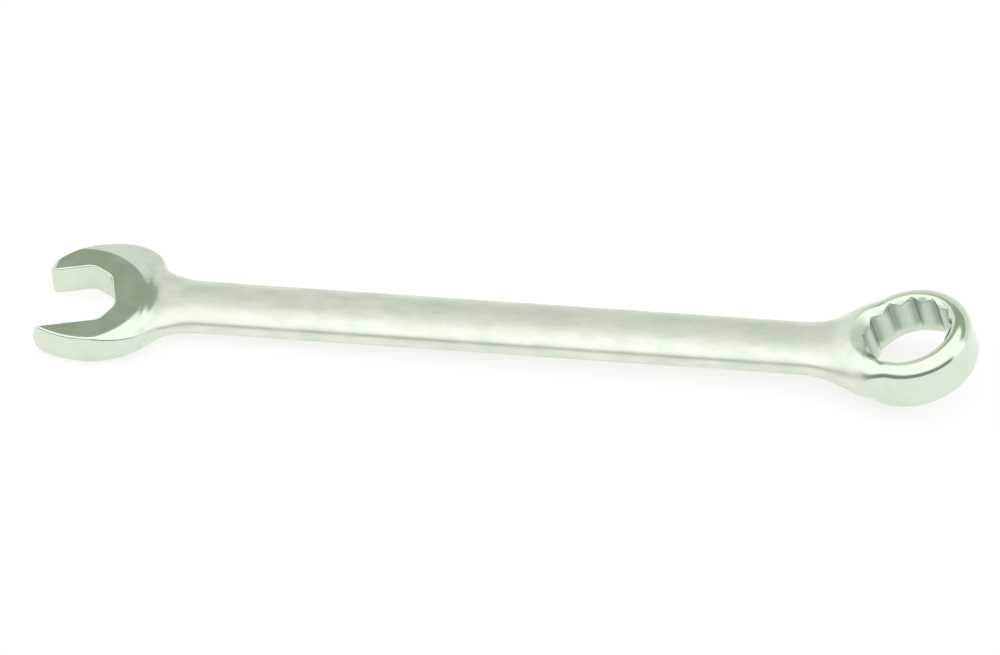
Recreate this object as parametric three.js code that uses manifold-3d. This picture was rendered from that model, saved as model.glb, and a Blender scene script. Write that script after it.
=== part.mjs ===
// Combination wrench, nominal 19 mm: an open end set at 15 degrees, a rounded
// shank and a 12-point box end. The real tool is one drop forging; its three
// named regions meet on flat section planes across the shank.
//
// Millimetres. X runs along the shank towards the box end, Z is up. The shape is
// drawn about the shank's own axis and moved at the end, so that the origin is
// the middle of the bounding box's underside.

import * as THREE from 'three';
import { mergeVertices } from 'three/addons/utils/BufferGeometryUtils.js';
import Module from 'manifold-3d';

const wasm = await Module();
wasm.setup();

// Fit of both ends: a 19 mm hexagon with working clearance
const ACROSS_FLATS = 19.2;

// Open end, in its own frame: U points out of the mouth, V across it
const HEAD_CENTRE = new THREE.Vector2(-99.3, -1.2);
const JAW_ANGLE = THREE.MathUtils.degToRad(15);
const HEAD_THICKNESS = 8;
const FACE_MARGIN = 0.4;
const SIDE_BULGE = 0.8;
const FACE_RADIUS = 16.3;
const FACE_OFFSET = 4.5;
const SHOULDER_SLOPE = THREE.MathUtils.degToRad(18);
const MOUTH_X = -112.7;
const MOUTH_SLANT = THREE.MathUtils.degToRad(6.5);
const THROAT_DEPTH = 4.6;
const THROAT_FLAT = 5.2;
const THROAT_START = -0.4;
const HEAD_EDGE = 0.4;

// Outer arcs of the two jaws: a long arc from the tip, then a tighter one at the back
const FAR_TIP_ARC = { u: -6.5, v: -6.4, radius: 24 };
const FAR_BACK_RADIUS = 8;
const FAR_TANGENT = THREE.MathUtils.degToRad(98.5);
const NEAR_TIP_ARC = { u: -2.0, v: 7.6, radius: 23.7 };
const NEAR_BACK_RADIUS = 15.3;
const NEAR_TANGENT = THREE.MathUtils.degToRad(268);
const TIP_REACH = THREE.MathUtils.degToRad(30);

// Shank: half sizes of its rounded section, and where it widens into the ends
const SHANK_HALF_WIDTH = 7.8;
const SHANK_HALF_HEIGHT = 3.7;
const SHANK_ROUNDNESS = 2.6;
const NECK_SHARPNESS = 1.4;
const SHANK_START = -91;
const SHANK_END = 92;
const OPEN_NECK = { from: -72, to: -90, widen: 5, thicken: -0.5, drop: 0 };
const BOX_NECK = { from: 72, to: 90, widen: 4.5, thicken: 1.2, drop: 0.6 };

// Box end: a ring tilted so that the shank lifts off the work
const RING_X = 99.4;
const RING_RAISE = 2.7;
const RING_DIAMETER = 30.5;
const RING_HEIGHT = 12.8;
const RING_TILT = THREE.MathUtils.degToRad(20);
const RING_TOP_EDGE = 3.3;
const RING_FOOT_EDGE = 3.1;
const TOP_LEAD_IN_DIAMETER = 22.6;
const FOOT_LEAD_IN_DIAMETER = 24.8;
const LEAD_IN_ANGLE = THREE.MathUtils.degToRad(42);
const POINTS = 12;
const POINT_TURN = THREE.MathUtils.degToRad(-7);

// Section planes between the three regions
const OPEN_SECTION_X = -70;
const BOX_SECTION_X = 72;

// Longer than any part of the tool, for cutters
const BEYOND = 200;

// Fineness of the curved surfaces
const ARC_STEPS = 14;
const EDGE_STEPS = 6;
const BEVEL_STEPS = 5;
const RING_SIDES = 72;
const FACE_SIDES = 96;
const SHANK_SIDES = 36;
const SHANK_STATIONS = 60;
const MERGE_DISTANCE = 1e-4;

// At rest the wrench lies on the ring's low rim and the tips of its jaws. Both are
// rounded, so the surface is the common tangent under two small circles.
function restTilt() {
  const rimX = RING_X - (RING_DIAMETER / 2 - RING_FOOT_EDGE) * Math.cos(RING_TILT)
    + (RING_HEIGHT / 2 - RING_FOOT_EDGE) * Math.sin(RING_TILT);
  const rimZ = RING_RAISE - (RING_DIAMETER / 2 - RING_FOOT_EDGE) * Math.sin(RING_TILT)
    - (RING_HEIGHT / 2 - RING_FOOT_EDGE) * Math.cos(RING_TILT);
  const tipZ = HEAD_EDGE - HEAD_THICKNESS / 2;
  const span = Math.hypot(rimX - MOUTH_X, rimZ - tipZ);
  return Math.atan2(tipZ - rimZ, rimX - MOUTH_X) + Math.asin((RING_FOOT_EDGE - HEAD_EDGE) / span);
}

function toSolid(geometry) {
  const bare = geometry.clone();
  bare.deleteAttribute('normal');
  bare.deleteAttribute('uv');
  const merged = mergeVertices(bare, MERGE_DISTANCE);
  return new wasm.Manifold(new wasm.Mesh({
    numProp: 3,
    vertProperties: new Float32Array(merged.attributes.position.array),
    triVerts: new Uint32Array(merged.index.array),
  }));
}

function toGeometry(solid) {
  const mesh = solid.getMesh();
  const geometry = new THREE.BufferGeometry();
  geometry.setAttribute('position', new THREE.BufferAttribute(mesh.vertProperties, 3));
  geometry.setIndex(new THREE.BufferAttribute(mesh.triVerts, 1));
  return geometry;
}

function arcPoints(centre, radius, start, end, steps) {
  const points = [];
  for (let i = 0; i <= steps; i += 1) {
    const angle = start + (end - start) * i / steps;
    points.push(new THREE.Vector2(
      centre.x + radius * Math.cos(angle),
      centre.y + radius * Math.sin(angle),
    ));
  }
  return points;
}

// Turned so that U leaves the mouth, away from the shank
function placeHead(geometry) {
  geometry.rotateZ(Math.PI + JAW_ANGLE);
  geometry.translate(HEAD_CENTRE.x, HEAD_CENTRE.y, 0);
  return geometry;
}

// V of the head's frame points to the far jaw, so it is mirrored by the half turn
function headPoint(u, v) {
  return new THREE.Vector2(u, -v);
}

// Two tangent arcs: the back arc's centre lies on the tip arc's radius at the tangent
function jawArcs(tipArc, backRadius, tangent, tipAngle, backAngle) {
  const tipCentre = new THREE.Vector2(tipArc.u, tipArc.v);
  const reach = tipArc.radius - backRadius;
  const backCentre = new THREE.Vector2(
    tipCentre.x + reach * Math.cos(tangent),
    tipCentre.y + reach * Math.sin(tangent),
  );
  const tip = arcPoints(tipCentre, tipArc.radius, tipAngle, tangent, ARC_STEPS);
  const back = arcPoints(backCentre, backRadius, tangent, backAngle, ARC_STEPS);
  return tip.concat(back.slice(1));
}

function headOutline() {
  const far = jawArcs(FAR_TIP_ARC, FAR_BACK_RADIUS, FAR_TANGENT, TIP_REACH, Math.PI);
  const near = jawArcs(
    NEAR_TIP_ARC, NEAR_BACK_RADIUS, NEAR_TANGENT, 2 * Math.PI - TIP_REACH, Math.PI,
  );
  const points = far.concat(near.reverse());
  return new THREE.Shape(points.map((point) => headPoint(point.x, point.y)));
}

// The head's plate: its side stands a little outside the outline at both faces and
// bulges further at mid-height
function plate(outline) {
  const rise = HEAD_THICKNESS / 2 - HEAD_EDGE;
  const geometry = new THREE.ExtrudeGeometry(outline, {
    depth: 2 * HEAD_EDGE,
    bevelEnabled: true,
    bevelThickness: rise,
    bevelSize: SIDE_BULGE,
    bevelOffset: FACE_MARGIN,
    bevelSegments: BEVEL_STEPS,
  });
  geometry.translate(0, 0, -HEAD_EDGE);
  return geometry;
}

// Two ground faces, round behind the jaws, with the shoulders sloping away outside them
function faceLimit() {
  const half = HEAD_THICKNESS / 2;
  const reach = half / Math.tan(SHOULDER_SLOPE);
  const profile = [
    new THREE.Vector2(0, -half),
    new THREE.Vector2(FACE_RADIUS, -half),
    new THREE.Vector2(FACE_RADIUS + reach, 0),
    new THREE.Vector2(FACE_RADIUS, half),
    new THREE.Vector2(0, half),
  ];
  const geometry = new THREE.LatheGeometry(profile, FACE_SIDES);
  geometry.rotateX(Math.PI / 2);
  geometry.translate(FACE_OFFSET, 0, 0);
  return geometry;
}

function prism(outline, height) {
  const geometry = new THREE.ExtrudeGeometry(outline, { depth: height, bevelEnabled: false });
  geometry.translate(0, 0, -height / 2);
  return geometry;
}

function openEndBody() {
  return toSolid(placeHead(plate(headOutline()))).intersect(toSolid(placeHead(faceLimit())));
}

// Parallel jaw faces with a hexagon's slanted corners at the throat
function mouthCutter() {
  const half = ACROSS_FLATS / 2;
  const outline = new THREE.Shape([
    headPoint(BEYOND, -half),
    headPoint(BEYOND, half),
    headPoint(THROAT_START, half),
    headPoint(-THROAT_DEPTH, THROAT_FLAT),
    headPoint(-THROAT_DEPTH, -THROAT_FLAT),
    headPoint(THROAT_START, -half),
  ]);
  return toSolid(placeHead(prism(outline, 4 * HEAD_THICKNESS)));
}

function blend(x, from, to) {
  return THREE.MathUtils.smoothstep(Math.abs(x - from), 0, Math.abs(to - from));
}

// How far into a neck a station is: 0 on the plain shank, 1 at the end region
function neckShare(x, neck) {
  const inside = (x - neck.from) * Math.sign(neck.to - neck.from) > 0;
  return inside ? blend(x, neck.from, neck.to) ** NECK_SHARPNESS : 0;
}

// A closed bar of rounded section whose width follows the two necks
function shankBody() {
  const length = SHANK_END - SHANK_START;
  const geometry = new THREE.CylinderGeometry(1, 1, length, SHANK_SIDES, SHANK_STATIONS);
  geometry.rotateZ(-Math.PI / 2);
  geometry.translate((SHANK_START + SHANK_END) / 2, 0, 0);
  const position = geometry.attributes.position;
  const power = 2 / SHANK_ROUNDNESS;
  for (let i = 0; i < position.count; i += 1) {
    const x = position.getX(i);
    const y = position.getY(i);
    const z = position.getZ(i);
    const neck = x < 0 ? OPEN_NECK : BOX_NECK;
    const share = neckShare(x, neck);
    const halfWidth = SHANK_HALF_WIDTH + neck.widen * share;
    const halfHeight = SHANK_HALF_HEIGHT + neck.thicken * share;
    position.setY(i, halfWidth * Math.sign(y) * Math.abs(y) ** power);
    position.setZ(i, halfHeight * Math.sign(z) * Math.abs(z) ** power - neck.drop * share);
  }
  return toSolid(geometry);
}

function placeRing(geometry) {
  geometry.rotateX(Math.PI / 2);
  geometry.rotateY(-RING_TILT);
  geometry.translate(RING_X, 0, RING_RAISE);
  return geometry;
}

// A solid puck with rounded rims, its profile closed on the axis
function ringBody() {
  const radius = RING_DIAMETER / 2;
  const half = RING_HEIGHT / 2;
  const foot = arcPoints(
    new THREE.Vector2(radius - RING_FOOT_EDGE, RING_FOOT_EDGE - half),
    RING_FOOT_EDGE, -Math.PI / 2, 0, EDGE_STEPS,
  );
  const top = arcPoints(
    new THREE.Vector2(radius - RING_TOP_EDGE, half - RING_TOP_EDGE),
    RING_TOP_EDGE, 0, Math.PI / 2, EDGE_STEPS,
  );
  const profile = [new THREE.Vector2(0, -half), ...foot, ...top, new THREE.Vector2(0, half)];
  return toSolid(placeRing(new THREE.LatheGeometry(profile, RING_SIDES)));
}

// Two hexagons turned against each other: grooves and ridges alternate round the hole
function twelvePointCutter() {
  const groove = ACROSS_FLATS / 2 / Math.cos(Math.PI / 6);
  const ridge = ACROSS_FLATS / 2 / Math.cos(Math.PI / POINTS);
  const points = [];
  for (let i = 0; i < 2 * POINTS; i += 1) {
    const radius = i % 2 === 0 ? groove : ridge;
    const angle = POINT_TURN + i * Math.PI / POINTS;
    points.push(new THREE.Vector2(radius * Math.cos(angle), radius * Math.sin(angle)));
  }
  const geometry = prism(new THREE.Shape(points), 4 * RING_HEIGHT);
  geometry.rotateX(-Math.PI / 2);
  return toSolid(placeRing(geometry));
}

// Lead-in cones at both mouths of the hole
function leadInCutter(diameter, side) {
  const half = RING_HEIGHT / 2;
  const radius = diameter / 2;
  const depth = radius * Math.tan(LEAD_IN_ANGLE);
  const profile = [
    new THREE.Vector2(0, half - depth),
    new THREE.Vector2(radius, half),
    new THREE.Vector2(radius, 2 * RING_HEIGHT),
    new THREE.Vector2(0, 2 * RING_HEIGHT),
  ];
  const geometry = new THREE.LatheGeometry(profile, RING_SIDES);
  if (side < 0) geometry.rotateX(Math.PI);
  return toSolid(placeRing(geometry));
}

function sectionBox(fromX, toX) {
  const geometry = new THREE.BoxGeometry(toX - fromX, BEYOND, BEYOND);
  geometry.translate((fromX + toX) / 2, 0, 0);
  return toSolid(geometry);
}

// The jaw tips end on one slightly slanted line across the mouth
function tipCutter() {
  const geometry = new THREE.BoxGeometry(BEYOND, BEYOND, BEYOND);
  geometry.translate(-BEYOND / 2, 0, 0);
  geometry.rotateZ(-MOUTH_SLANT);
  geometry.translate(MOUTH_X, 0, 0);
  return toSolid(geometry);
}

function forging() {
  const outer = openEndBody().add(shankBody()).add(ringBody());
  return outer
    .subtract(mouthCutter())
    .subtract(tipCutter())
    .subtract(twelvePointCutter())
    .subtract(leadInCutter(TOP_LEAD_IN_DIAMETER, 1))
    .subtract(leadInCutter(FOOT_LEAD_IN_DIAMETER, -1));
}

function chromeSteel(roughness) {
  return new THREE.MeshStandardMaterial({ color: 0xc9ccc4, roughness, metalness: 1 });
}

// Laid down as it rests, then divided
const resting = toGeometry(forging());
resting.rotateY(-restTilt());
const wrench = toSolid(resting);
const regions = [
  { name: 'open_end_head', from: -BEYOND, to: OPEN_SECTION_X, roughness: 0.18 },
  { name: 'shank', from: OPEN_SECTION_X, to: BOX_SECTION_X, roughness: 0.38 },
  { name: 'box_end_head', from: BOX_SECTION_X, to: BEYOND, roughness: 0.22 },
];

const part = new THREE.Group();
for (const region of regions) {
  const solid = wrench.intersect(sectionBox(region.from, region.to));
  const mesh = new THREE.Mesh(toGeometry(solid), chromeSteel(region.roughness));
  mesh.name = region.name;
  part.add(mesh);
}

// Origin at the middle of the bounding box's underside
const bounds = new THREE.Box3().setFromObject(part);
const centre = bounds.getCenter(new THREE.Vector3());
part.position.set(-centre.x, -centre.y, -bounds.min.z);
part.updateMatrixWorld(true);

export default part;
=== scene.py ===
import math

import bmesh
import bpy
import numpy as np
from mathutils import Matrix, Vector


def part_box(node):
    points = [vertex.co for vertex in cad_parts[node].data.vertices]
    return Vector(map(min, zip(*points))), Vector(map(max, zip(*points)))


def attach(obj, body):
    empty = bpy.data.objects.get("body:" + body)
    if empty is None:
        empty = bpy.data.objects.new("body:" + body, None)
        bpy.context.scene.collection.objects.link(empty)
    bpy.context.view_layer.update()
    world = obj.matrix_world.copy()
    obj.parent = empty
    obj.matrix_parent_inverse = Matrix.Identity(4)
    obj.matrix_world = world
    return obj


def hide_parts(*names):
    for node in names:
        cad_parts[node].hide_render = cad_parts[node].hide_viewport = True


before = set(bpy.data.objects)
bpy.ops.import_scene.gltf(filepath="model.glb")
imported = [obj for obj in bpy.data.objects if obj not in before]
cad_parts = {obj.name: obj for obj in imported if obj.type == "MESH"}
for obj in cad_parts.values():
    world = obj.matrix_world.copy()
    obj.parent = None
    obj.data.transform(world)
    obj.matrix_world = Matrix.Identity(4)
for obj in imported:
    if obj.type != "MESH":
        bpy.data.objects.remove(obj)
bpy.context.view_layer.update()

# A chrome-plated combination wrench. Its surface is one distance field in millimetres,
# in a drawing frame with X along the shank and Z = 0 at the shank's middle. It is
# meshed once, laid down at rest and divided at the CAD model's two section planes.

MM = 0.001

# Fit of both ends
ACROSS_FLATS = 19.2

# Open end: U out of the mouth, V across it towards the far jaw
HEAD_X, HEAD_Y = -99.3, -1.2
JAW_ANGLE = math.radians(15)
HEAD_HALF = 4.0
HEAD_EDGE = 0.4
FACE_MARGIN = 0.4
SIDE_BULGE = 0.8
FACE_RADIUS = 16.3
FACE_OFFSET = 4.5
SHOULDER_SLOPE = math.radians(18)
MOUTH_X = -112.7
MOUTH_SLANT = math.radians(6.5)
TIP_EDGE = 1.8
THROAT_DEPTH = 4.6
THROAT_FLAT = 5.2
THROAT_START = -0.4
THROAT_ROUND = 0.8
FAR_TIP = (-6.5, -6.4, 24.0)
FAR_BACK_RADIUS = 8.0
FAR_TANGENT = math.radians(98.5)
NEAR_TIP = (-2.0, 7.6, 23.7)
NEAR_BACK_RADIUS = 15.3
NEAR_TANGENT = math.radians(268)
TIP_REACH = math.radians(30)
ARC_STEPS = 64

# Shank and necks
HALF_WIDTH = 7.8
HALF_HEIGHT = 3.7
ROUNDNESS = 2.6
NECK_SHARPNESS = 1.4
SHANK_START, SHANK_END = -91.0, 92.0
OPEN_NECK = dict(start=-72.0, end=-90.0, widen=5.0, thicken=-0.5, drop=0.0)
BOX_NECK = dict(start=72.0, end=90.0, widen=4.5, thicken=1.2, drop=0.6)
OPEN_BLEND = 1.8
# The blend at the ring narrows low down, so that the ring's rim stays the lowest point
BOX_BLEND = dict(low=3.4, high=7.0, start=-6.0, length=5.0)
# Where the bar shrinks away inside each end, and by how much
OPEN_FADE = dict(start=-84.0, length=-5.0, depth=2.5)
BOX_FADE = dict(start=87.0, length=9.0, depth=5.0)

# Box end
RING_X = 99.4
RING_RAISE = 2.7
RING_RADIUS = 15.25
RING_HALF = 6.4
RING_TILT = math.radians(20)
RING_TOP_EDGE = 3.3
RING_FOOT_EDGE = 3.1
TOP_LEAD_IN_RADIUS = 11.3
FOOT_LEAD_IN_RADIUS = 12.4
LEAD_IN_ANGLE = math.radians(42)
BORE_RADIUS = 10.02
POINT_PITCH = math.radians(30)
POINT_TURN = math.radians(-7)

# Small eased edges
GROUND_EDGE = 0.25
MOUTH_EDGE = 0.35
HOLE_EDGE = 0.2

# Mesh: cell sizes, the extent that is searched and the pull onto the surface
FINE = 0.27
ALONG_SHANK = 0.9
MARGIN = 1.2
END_MARGIN = 2.0
HALF_EXTENT_Y = 19.6
LOW_EXTENT_Z = -8.4
HIGH_EXTENT_Z = 13.6
BLOCK_COLUMNS = 40
PULL_STEPS = 3
LEAST_SLOPE = 0.2
MOST_SIDES_SMOOTH = 8
OPEN_SECTION_X = -70.0

# Finish: where polish and broaching begin, and how far they take to change
HEAD_POLISH = dict(start=18.5, length=3.0)
BOX_POLISH = dict(start=84.0, length=8.0)
BROACH_SIDE = dict(start=11.0, length=0.3)
BROACH_TOP = dict(start=5.4, length=0.6)
BROACH_FOOT = dict(start=1.6, length=2.4)
# Where the painted shade at the bottom of the hole's grooves begins
GROOVE_SIDE = dict(start=10.1, length=0.8)


def both(a, b, radius=0.0):
    """Inside both fields, with the edge between them rounded to a radius."""
    if radius <= 0:
        return np.maximum(a, b)
    corner = np.hypot(np.maximum(a + radius, 0), np.maximum(b + radius, 0))
    return np.minimum(np.maximum(a, b), -radius) + corner


def either(a, b, blend):
    """Inside either field, with a soft concave join."""
    h = np.clip(0.5 + 0.5 * (b - a) / blend, 0, 1)
    return b + (a - b) * h - blend * h * (1 - h)


def outside(a, b, radius=0.0):
    """Inside a and outside b."""
    return both(a, -b, radius)


def rise(t):
    t = np.clip(t, 0, 1)
    return t * t * (3 - 2 * t)


def arc_points(centre, radius, start, end):
    angle = np.linspace(start, end, ARC_STEPS + 1)
    return np.stack([centre[0] + radius * np.cos(angle), centre[1] + radius * np.sin(angle)], 1)


def jaw_arcs(tip, back_radius, tangent, tip_angle):
    """Two tangent arcs from the tip of a jaw round to the back of the head."""
    centre = np.array(tip[:2])
    reach = tip[2] - back_radius
    back = centre + reach * np.array([math.cos(tangent), math.sin(tangent)])
    first = arc_points(centre, tip[2], tip_angle, tangent)
    second = arc_points(back, back_radius, tangent, math.pi)
    return np.concatenate([first, second[1:]])


def head_outline():
    far = jaw_arcs(FAR_TIP, FAR_BACK_RADIUS, FAR_TANGENT, TIP_REACH)
    near = jaw_arcs(NEAR_TIP, NEAR_BACK_RADIUS, NEAR_TANGENT, 2 * math.pi - TIP_REACH)
    return np.concatenate([far, near[::-1]])


OUTLINE = head_outline()


def outline_distance(u, v):
    """Signed distance to the closed outline of the head."""
    nearest = np.full(np.broadcast(u, v).shape, 1e9)
    sign = np.ones_like(nearest)
    previous = OUTLINE[-1]
    for point in OUTLINE:
        edge = previous - point
        du, dv = u - point[0], v - point[1]
        t = np.clip((du * edge[0] + dv * edge[1]) / (edge @ edge), 0, 1)
        nearest = np.minimum(nearest, (du - edge[0] * t) ** 2 + (dv - edge[1] * t) ** 2)
        above = v >= point[1]
        below = v < previous[1]
        left = edge[0] * dv > edge[1] * du
        sign = np.where((above & below & left) | (~above & ~below & ~left), -sign, sign)
        previous = point
    return sign * np.sqrt(nearest)


def head_frame(x, y):
    c, s = math.cos(JAW_ANGLE), math.sin(JAW_ANGLE)
    dx, dy = x - HEAD_X, y - HEAD_Y
    return -(dx * c + dy * s), -dx * s + dy * c


def open_end(x, y, z):
    """The solid head before its mouth is cut."""
    u, v = head_frame(x, y)
    plan = outline_distance(u, v) - FACE_MARGIN - SIDE_BULGE * (1 - (z / HEAD_HALF) ** 2)
    height = np.abs(z) - HEAD_HALF
    radial = np.hypot(u - FACE_OFFSET, v) - FACE_RADIUS
    cone = height * math.cos(SHOULDER_SLOPE) + radial * math.sin(SHOULDER_SLOPE)
    top = both(height, cone, GROUND_EDGE)
    return both(plan, top, HEAD_EDGE), u, v


def mouth(u, v):
    """The hexagon-cornered slot between the jaws."""
    across = np.abs(v)
    run = THROAT_DEPTH + THROAT_START
    fall = ACROSS_FLATS / 2 - THROAT_FLAT
    slant = ((THROAT_START - u) * fall + (across - ACROSS_FLATS / 2) * run) / math.hypot(run, fall)
    sides = both(across - ACROSS_FLATS / 2, slant, THROAT_ROUND)
    return both(sides, -u - THROAT_DEPTH, THROAT_ROUND)


def bar(x, y, z):
    """The shank and its necks: a rounded section whose size follows X."""
    width = HALF_WIDTH
    height = HALF_HEIGHT
    drop = 0.0
    for neck in (OPEN_NECK, BOX_NECK):
        share = rise((x - neck["start"]) / (neck["end"] - neck["start"])) ** NECK_SHARPNESS
        width = width + neck["widen"] * share
        height = height + neck["thicken"] * share
        drop = drop + neck["drop"] * share
    p = np.abs(y) / width
    q = np.abs(z + drop) / height
    total = np.maximum(p ** ROUNDNESS + q ** ROUNDNESS, 1e-9)
    gauge = total ** (1 / ROUNDNESS)
    slope = np.hypot(p ** (ROUNDNESS - 1) / width, q ** (ROUNDNESS - 1) / height)
    slope = slope * total ** (1 / ROUNDNESS - 1)
    side = np.maximum((gauge - 1) / np.maximum(slope, 1e-4), -height)
    return np.maximum(side, np.maximum(SHANK_START - x, x - SHANK_END))


def change(value, span):
    """0 before a span's start, 1 after its length, smooth between."""
    return rise((value - span["start"]) / span["length"])


def faded(shank, x, fade):
    return shank + fade["depth"] * change(x, fade)


def ring_frame(x, y, z):
    """Distance from the ring's axis, and position across and along the axis."""
    c, s = math.cos(RING_TILT), math.sin(RING_TILT)
    dx, dz = x - RING_X, z - RING_RAISE
    across, along = dx * c + dz * s, dz * c - dx * s
    return np.hypot(across, y), across, along


def ring(x, y, z):
    """The ring's solid puck and its hole."""
    radius, across, along = ring_frame(x, y, z)
    puck = both(radius - RING_RADIUS, along - RING_HALF, RING_TOP_EDGE)
    puck = both(puck, -along - RING_HALF, RING_FOOT_EDGE)
    turn = np.arctan2(y + 0 * across, across)
    offset = np.mod(turn - POINT_TURN + POINT_PITCH / 2, POINT_PITCH) - POINT_PITCH / 2
    first = radius * np.cos(POINT_PITCH - offset) - ACROSS_FLATS / 2
    second = radius * np.cos(POINT_PITCH + offset) - ACROSS_FLATS / 2
    star = both(first, second, HOLE_EDGE)
    lead_in_radius = np.where(along > 0, TOP_LEAD_IN_RADIUS, FOOT_LEAD_IN_RADIUS)
    lead_in = (radius - lead_in_radius) * math.sin(LEAD_IN_ANGLE)
    lead_in = lead_in + (RING_HALF - np.abs(along)) * math.cos(LEAD_IN_ANGLE)
    hole = np.minimum(np.minimum(star, radius - BORE_RADIUS), lead_in)
    return puck, hole


def field(x, y, z):
    """Signed distance to the wrench, millimetres, negative inside."""
    shank = bar(x, y, z)
    head, u, v = open_end(np.minimum(x, 0), y, z)
    left = either(head, faded(shank, x, OPEN_FADE), OPEN_BLEND)
    left = both(left, np.abs(z) - HEAD_HALF, GROUND_EDGE)
    left = outside(left, mouth(u, v), MOUTH_EDGE)
    tip = (MOUTH_X - x) * math.cos(MOUTH_SLANT) + y * math.sin(MOUTH_SLANT)
    left = both(left, tip, TIP_EDGE)
    puck, hole = ring(np.maximum(x, 0), y, z)
    share = change(z, BOX_BLEND)
    blend = BOX_BLEND["low"] + (BOX_BLEND["high"] - BOX_BLEND["low"]) * share
    right = either(puck, faded(shank, x, BOX_FADE), blend)
    right = outside(right, hole, HOLE_EDGE)
    return np.where(x < 0, left, right)


def gradient(points, step=0.08):
    result = np.empty_like(points)
    for axis in range(3):
        shift = np.zeros(3)
        shift[axis] = step
        ahead = field(*(points + shift).T)
        behind = field(*(points - shift).T)
        result[:, axis] = (ahead - behind) / (2 * step)
    return result


def rest_tilt():
    """The ring's low rim and the tips of the jaws touch the surface together."""
    rim = RING_RADIUS - RING_FOOT_EDGE
    foot = RING_HALF - RING_FOOT_EDGE
    rim_x = RING_X - rim * math.cos(RING_TILT) + foot * math.sin(RING_TILT)
    rim_z = RING_RAISE - rim * math.sin(RING_TILT) - foot * math.cos(RING_TILT)
    tip_z = HEAD_EDGE - HEAD_HALF
    span = math.hypot(rim_x - MOUTH_X, rim_z - tip_z)
    lean = math.atan2(tip_z - rim_z, rim_x - MOUTH_X)
    return lean + math.asin((RING_FOOT_EDGE - HEAD_EDGE) / span)


def surface_net(values, axes):
    """One vertex in each cell that the surface crosses, and a quad for each crossed edge."""
    inside = values < 0
    shape = np.array(values.shape)
    cells = tuple(shape - 1)
    count = np.zeros(cells, np.int8)
    corners = [(i, j, k) for i in (0, 1) for j in (0, 1) for k in (0, 1)]
    for i, j, k in corners:
        count += inside[i:i + cells[0], j:j + cells[1], k:k + cells[2]]
    where = np.argwhere((count > 0) & (count < 8))
    number = np.full(cells, -1)
    number[tuple(where.T)] = np.arange(len(where))
    at = {c: values[tuple((where + c).T)] for c in corners}
    total = np.zeros((len(where), 3))
    hits = np.zeros(len(where))
    for start in corners:
        for axis in range(3):
            if start[axis]:
                continue
            stop = tuple(1 if a == axis else start[a] for a in range(3))
            a, b = at[start], at[stop]
            crossed = (a < 0) != (b < 0)
            share = np.where(crossed, a / np.where(crossed, a - b, 1), 0)
            point = np.tile(np.array(start, float), (len(where), 1))
            point[:, axis] += share
            total += point * crossed[:, None]
            hits += crossed
    local = total / hits[:, None]
    vertices = np.empty_like(local)
    for axis, line in enumerate(axes):
        low = line[where[:, axis]]
        vertices[:, axis] = low + local[:, axis] * (line[where[:, axis] + 1] - low)
    quads = []
    for axis in range(3):
        side_a, side_b = (axis + 1) % 3, (axis + 2) % 3
        lower = [slice(None)] * 3
        upper = [slice(None)] * 3
        lower[axis], upper[axis] = slice(0, -1), slice(1, None)
        first = inside[tuple(lower)]
        edges = np.argwhere(first != inside[tuple(upper)])
        outward = first[tuple(edges.T)]
        ring_of_cells = []
        for a, b in ((1, 1), (0, 1), (0, 0), (1, 0)):
            cell = edges.copy()
            cell[:, side_a] -= a
            cell[:, side_b] -= b
            ring_of_cells.append(number[tuple(cell.T)])
        quad = np.stack(ring_of_cells, 1)
        quads.append(np.where(outward[:, None], quad, quad[:, ::-1]))
    return vertices, np.concatenate(quads)


def wrench_surface():
    """Vertices and quads of the whole wrench, in the drawing frame."""
    left = np.arange(MOUTH_X - END_MARGIN - MARGIN, OPEN_SECTION_X - END_MARGIN, FINE)
    right = np.arange(BOX_NECK["start"], RING_X + RING_RADIUS + MARGIN + FINE, FINE)
    middle = np.linspace(left[-1], right[0], int((right[0] - left[-1]) / ALONG_SHANK) + 1)
    xs = np.concatenate([left, middle[1:-1], right])
    ys = np.arange(-HALF_EXTENT_Y - MARGIN, HALF_EXTENT_Y + MARGIN, FINE)
    zs = np.arange(LOW_EXTENT_Z - MARGIN, HIGH_EXTENT_Z + MARGIN, FINE)
    values = np.empty((len(xs), len(ys), len(zs)))
    for start in range(0, len(xs), BLOCK_COLUMNS):
        stop = start + BLOCK_COLUMNS
        part = xs[start:stop, None, None]
        values[start:stop] = field(part, ys[None, :, None], zs[None, None, :])
    points, quads = surface_net(values, (xs, ys, zs))
    for _ in range(PULL_STEPS):
        slope = gradient(points)
        length = np.maximum((slope ** 2).sum(1), LEAST_SLOPE)
        move = slope * (field(*points.T) / length)[:, None]
        points = points - np.clip(move, -FINE, FINE)
    return points, quads


def new_mesh(name, points, faces):
    mesh = bpy.data.meshes.new(name)
    mesh.vertices.add(len(points))
    mesh.vertices.foreach_set("co", points.astype(np.float32).ravel())
    mesh.loops.add(faces.size)
    mesh.loops.foreach_set("vertex_index", faces.astype(np.int32).ravel())
    mesh.polygons.add(len(faces))
    mesh.polygons.foreach_set("loop_start", np.arange(0, faces.size, 4, dtype=np.int32))
    mesh.polygons.foreach_set("loop_total", np.full(len(faces), 4, np.int32))
    mesh.update(calc_edges=True)
    mesh.validate()
    return mesh


TILT = rest_tilt()
REST = np.array([
    [math.cos(TILT), 0, -math.sin(TILT)],
    [0, 1, 0],
    [math.sin(TILT), 0, math.cos(TILT)],
])
surface, surface_quads = wrench_surface()
rested = surface @ REST.T
shank_low, shank_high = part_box("shank")
PLACE = np.array([
    shank_low.x / MM - OPEN_SECTION_X,
    (shank_low.y + shank_high.y) / 2 / MM,
    -rested[:, 2].min(),
])
whole = new_mesh("whole", (rested + PLACE) * MM, surface_quads)


def polish(points):
    """1 on the polished ends, 0 on the satin shank."""
    x = points[:, 0]
    u, v = head_frame(np.minimum(x, 0), points[:, 1])
    head = 1 - change(np.hypot(u - FACE_OFFSET, v), HEAD_POLISH)
    return np.where(x < 0, head, change(x, BOX_POLISH))


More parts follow.
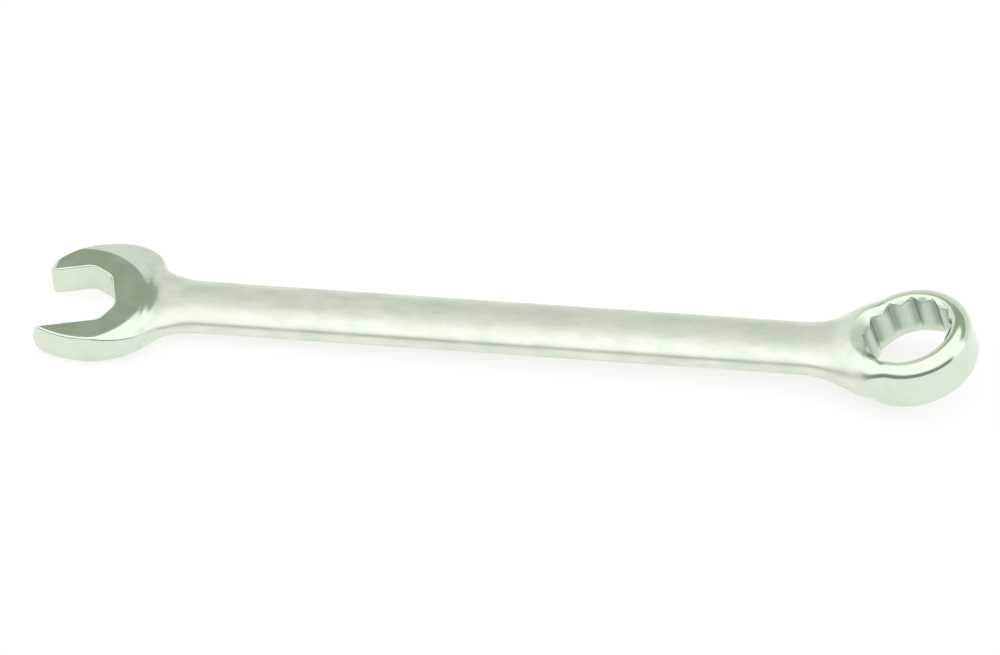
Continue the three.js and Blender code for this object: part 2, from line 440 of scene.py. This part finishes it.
def broach(points):
    """1 inside the twelve-point hole, where plating is thin and dull."""
    radius, _, along = ring_frame(*points.T)
    inner = 1 - change(radius, BROACH_SIDE)
    depth = (1 - change(along, BROACH_TOP)) * (1 - change(-along, BROACH_FOOT))
    return inner * depth * (points[:, 0] > 0)


def groove_shade(points):
    """1 at the bottom of the hole's grooves, 0 on its ridges; it masks the painted shade there."""
    return change(ring_frame(*points.T)[0], GROOVE_SIDE)


def region(name, low_x, high_x):
    """The part of the wrench between two section planes, closed by flat faces."""
    work = bmesh.new()
    work.from_mesh(whole)
    for x, side in ((low_x, -1), (high_x, 1)):
        if x is None:
            continue
        everything = work.verts[:] + work.edges[:] + work.faces[:]
        cut = bmesh.ops.bisect_plane(
            work, geom=everything, dist=1e-7, plane_co=(x, 0, 0), plane_no=(side, 0, 0),
            clear_outer=True)
        rim = [e for e in cut["geom_cut"] if isinstance(e, bmesh.types.BMEdge)]
        bmesh.ops.edgenet_fill(work, edges=rim)
    bmesh.ops.recalc_face_normals(work, faces=work.faces)
    mesh = bpy.data.meshes.new(name)
    work.to_mesh(mesh)
    work.free()
    co = np.empty(len(mesh.vertices) * 3, np.float32)
    mesh.vertices.foreach_get("co", co)
    points = (co.reshape(-1, 3).astype(float) / MM - PLACE) @ REST
    slope = gradient(points)
    normals = (slope / np.linalg.norm(slope, axis=1)[:, None]) @ REST.T
    index = np.empty(len(mesh.loops), np.int32)
    mesh.loops.foreach_get("vertex_index", index)
    by_loop = normals[index]
    flat = [p for p in mesh.polygons if p.loop_total > MOST_SIDES_SMOOTH]
    for p in flat:
        by_loop[p.loop_start:p.loop_start + p.loop_total] = p.normal
    mesh.polygons.foreach_set("use_smooth", np.ones(len(mesh.polygons), bool))
    mesh.normals_split_custom_set(by_loop.tolist())
    for mask, values in (("polish", polish(points)), ("broach", broach(points)),
                         ("groove_shade", groove_shade(points))):
        attribute = mesh.attributes.new(mask, "FLOAT", "POINT")
        attribute.data.foreach_set("value", values.astype(np.float32))
    piece = bpy.data.objects.new(name, mesh)
    bpy.context.scene.collection.objects.link(piece)
    return piece


PIECES = {
    "open_end_forging": ("open_end_head", None, shank_low.x),
    "shank_forging": ("shank", shank_low.x, shank_high.x),
    "box_end_forging": ("box_end_head", shank_high.x, None),
}


# Base colours of the plating, dark and light ends of each range
POLISHED_TONES = (0.67, 0.75, 0.61, 1), (0.705, 0.78, 0.655, 1)
SATIN_TONES = (0.70, 0.765, 0.645, 1), (0.77, 0.83, 0.715, 1)
HOLE_TONE = (0.58, 0.69, 0.57, 1)
# Painted shade: the dark tone at the bottom of the hole's grooves
GROOVE_SHADE_TONE = (0.34, 0.42, 0.33, 1)
SATIN_ROUGHNESS, POLISHED_ROUGHNESS = 0.43, 0.13


class Nodes:
    """Short calls for building a node tree."""

    def __init__(self, tree):
        self.tree = tree
        tree.nodes.clear()

    def add(self, kind, **settings):
        node = self.tree.nodes.new(kind)
        for key, value in settings.items():
            setattr(node, key, value)
        return node

    def link(self, source, target):
        self.tree.links.new(source, target)

    def feed(self, node, index, value):
        if isinstance(value, bpy.types.NodeSocket):
            self.link(value, node.inputs[index])
        elif value is not None:
            node.inputs[index].default_value = value

    def math(self, operation, a, b=None, clamp=False):
        node = self.add("ShaderNodeMath", operation=operation, use_clamp=clamp)
        self.feed(node, 0, a)
        self.feed(node, 1, b)
        return node.outputs[0]

    def ramp(self, value, low, high, to_low=0.0, to_high=1.0):
        node = self.add("ShaderNodeMapRange", interpolation_type="SMOOTHSTEP")
        for index, item in enumerate((value, low, high, to_low, to_high)):
            self.feed(node, index, item)
        return node.outputs[0]

    def noise(self, vector, scale, detail=3.0, roughness=0.5):
        node = self.add("ShaderNodeTexNoise")
        self.link(vector, node.inputs["Vector"])
        node.inputs["Scale"].default_value = scale
        node.inputs["Detail"].default_value = detail
        node.inputs["Roughness"].default_value = roughness
        return node.outputs[0]

    def stretch(self, vector, scale, rotation=(0, 0, 0)):
        node = self.add("ShaderNodeMapping")
        self.link(vector, node.inputs["Vector"])
        node.inputs["Scale"].default_value = scale
        node.inputs["Rotation"].default_value = rotation
        return node.outputs[0]

    def mix(self, factor, a, b):
        node = self.add("ShaderNodeMix", data_type="RGBA")
        self.feed(node, 0, factor)
        self.feed(node, 6, a)
        self.feed(node, 7, b)
        return node.outputs[2]


def chrome_material():
    """Chrome plate: bright ground heads, a satin forged shank, a dull broached hole with painted
    shade at the bottom of its grooves.
    """
    material = bpy.data.materials.new("chrome_steel")
    material.use_nodes = True
    n = Nodes(material.node_tree)
    where = n.add("ShaderNodeTexCoord").outputs["Object"]
    polished = n.add("ShaderNodeAttribute", attribute_name="polish").outputs["Fac"]
    broached = n.add("ShaderNodeAttribute", attribute_name="broach").outputs["Fac"]
    groove_shade = n.add("ShaderNodeAttribute", attribute_name="groove_shade").outputs["Fac"]
    haze = n.noise(where, 170, 4, 0.55)
    speckle = n.noise(where, 700, 3, 0.6)
    patch = n.noise(n.stretch(where, (150, 330, 330)), 1, 3, 0.6)
    scratch = n.noise(n.stretch(where, (120, 1500, 1500)), 1, 2, 0.5)
    rough = n.ramp(polished, 0, 1, SATIN_ROUGHNESS, POLISHED_ROUGHNESS)
    rough = n.math("ADD", rough, n.ramp(haze, 0.35, 0.7, -0.02, 0.05))
    rough = n.math("ADD", rough, n.ramp(scratch, 0.5, 0.8, 0, 0.03))
    rough = n.math("ADD", rough, n.math("MULTIPLY", broached, 0.12))
    tone = n.mix(n.ramp(haze, 0.3, 0.7), *POLISHED_TONES)
    satin_tone = n.mix(n.ramp(patch, 0.35, 0.65), *SATIN_TONES)
    tone = n.mix(polished, satin_tone, tone)
    # Broached tone in the hole, with painted shade at the bottom of its grooves
    tone = n.mix(broached, tone, n.mix(groove_shade, HOLE_TONE, GROOVE_SHADE_TONE))
    height = n.math("MULTIPLY", speckle, n.ramp(polished, 0, 0.5, 1.0, 0.05))
    lines = n.math("MULTIPLY", scratch, n.ramp(polished, 0, 0.5, 0.25, 0.01))
    height = n.math("ADD", height, lines)
    bump = n.add("ShaderNodeBump")
    bump.inputs["Strength"].default_value = 0.25
    bump.inputs["Distance"].default_value = 0.00005
    n.link(height, bump.inputs["Height"])
    shader = n.add("ShaderNodeBsdfPrincipled")
    shader.inputs["Metallic"].default_value = 1.0
    n.link(tone, shader.inputs["Base Color"])
    n.link(rough, shader.inputs["Roughness"])
    n.link(bump.outputs[0], shader.inputs["Normal"])
    output = n.add("ShaderNodeOutputMaterial")
    n.link(shader.outputs[0], output.inputs[0])
    return material


chrome = chrome_material()
for piece_name, (node_name, low_x, high_x) in PIECES.items():
    piece = region(piece_name, low_x, high_x)
    piece.data.materials.append(chrome)
    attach(piece, "root")
    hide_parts(node_name)
bpy.data.meshes.remove(whole)


def floor_material():
    material = bpy.data.materials.new("floor_white")
    material.use_nodes = True
    n = Nodes(material.node_tree)
    diffuse = n.add("ShaderNodeBsdfDiffuse")
    diffuse.inputs["Color"].default_value = (0.9, 0.9, 0.9, 1)
    glow = n.add("ShaderNodeEmission")
    glow.inputs["Color"].default_value = (1, 1, 1, 1)
    glow.inputs["Strength"].default_value = 1.1
    blend = n.add("ShaderNodeMixShader")
    blend.inputs[0].default_value = 0.62
    n.link(diffuse.outputs[0], blend.inputs[1])
    n.link(glow.outputs[0], blend.inputs[2])
    output = n.add("ShaderNodeOutputMaterial")
    n.link(blend.outputs[0], output.inputs[0])
    return material


FLOOR_HALF = 8.0
FLOOR_Z = -0.00005
floor_mesh = bpy.data.meshes.new("floor")
floor_mesh.from_pydata(
    [(-FLOOR_HALF, -FLOOR_HALF, 0), (FLOOR_HALF, -FLOOR_HALF, 0),
     (FLOOR_HALF, FLOOR_HALF, 0), (-FLOOR_HALF, FLOOR_HALF, 0)], [], [(0, 1, 2, 3)])
floor = bpy.data.objects.new("floor", floor_mesh)
floor.location.z = FLOOR_Z
floor_mesh.materials.append(floor_material())
bpy.context.scene.collection.objects.link(floor)


OPEN_LIGHT, PANEL_LIGHT = 1.33, 0.42
HORIZON_SHARE, FRONT_SHARE = 0.65, 0.22
PANEL_TINT = (0.95, 1.03, 0.86, 1)


def studio_world():
    """A white tent, bright above: a grey panel far off, a dim far horizon, a dark near side."""
    world = bpy.data.worlds.new("studio")
    world.use_nodes = True
    n = Nodes(world.node_tree)
    direction = n.add("ShaderNodeTexCoord").outputs["Generated"]
    split = n.add("ShaderNodeSeparateXYZ")
    n.link(direction, split.inputs[0])
    x, y, z = split.outputs
    far = n.ramp(y, 0.1, 0.35)
    panel = n.math("MULTIPLY", n.ramp(z, 0.44, 0.54), n.ramp(z, 0.82, 0.75))
    panel = n.math("MULTIPLY", panel, n.ramp(x, -0.54, -0.3))
    panel = n.math("MULTIPLY", panel, far)
    horizon = n.math("MULTIPLY", n.ramp(z, 0.54, 0.44), far)
    front = n.math("MULTIPLY", n.ramp(z, 0.58, 0.34), n.ramp(y, -0.2, -0.5))
    light = n.ramp(panel, 0, 1, OPEN_LIGHT, PANEL_LIGHT)
    light = n.math("MULTIPLY", light, n.ramp(horizon, 0, 1, 1.0, HORIZON_SHARE))
    light = n.math("MULTIPLY", light, n.ramp(front, 0, 1, 1.0, FRONT_SHARE))
    background = n.add("ShaderNodeBackground")
    n.link(light, background.inputs["Strength"])
    tint = n.mix(panel, (1, 1, 1, 1), PANEL_TINT)
    n.link(tint, background.inputs["Color"])
    output = n.add("ShaderNodeOutputWorld")
    n.link(background.outputs[0], output.inputs[0])
    return world


scene = bpy.context.scene
scene.world = studio_world()
scene.view_settings.view_transform = "Standard"

# Camera at the photograph's angle: 5.6 degrees round from square on, 44 degrees up
CAMERA_TURN = math.radians(5.6)
CAMERA_RISE = math.radians(44)
CAMERA_DISTANCE = 700.0
CAMERA_LENS = 103.8
back = np.array([
    math.sin(CAMERA_TURN) * math.cos(CAMERA_RISE),
    -math.cos(CAMERA_TURN) * math.cos(CAMERA_RISE),
    math.sin(CAMERA_RISE),
])
right = np.array([math.cos(CAMERA_TURN), math.sin(CAMERA_TURN), 0])
up = np.cross(back, right)
camera_data = bpy.data.cameras.new("camera")
camera_data.lens = CAMERA_LENS
camera_data.sensor_width = 36
camera_data.clip_start = 0.01
camera_data.clip_end = 50
camera = bpy.data.objects.new("camera", camera_data)
scene.collection.objects.link(camera)
stand = (REST @ (back * CAMERA_DISTANCE) + PLACE) * MM
axes = np.stack([REST @ right, REST @ up, REST @ back], 1)
pose = np.eye(4)
pose[:3, :3] = axes
pose[:3, 3] = stand
camera.matrix_world = Matrix(pose.tolist())
scene.camera = camera
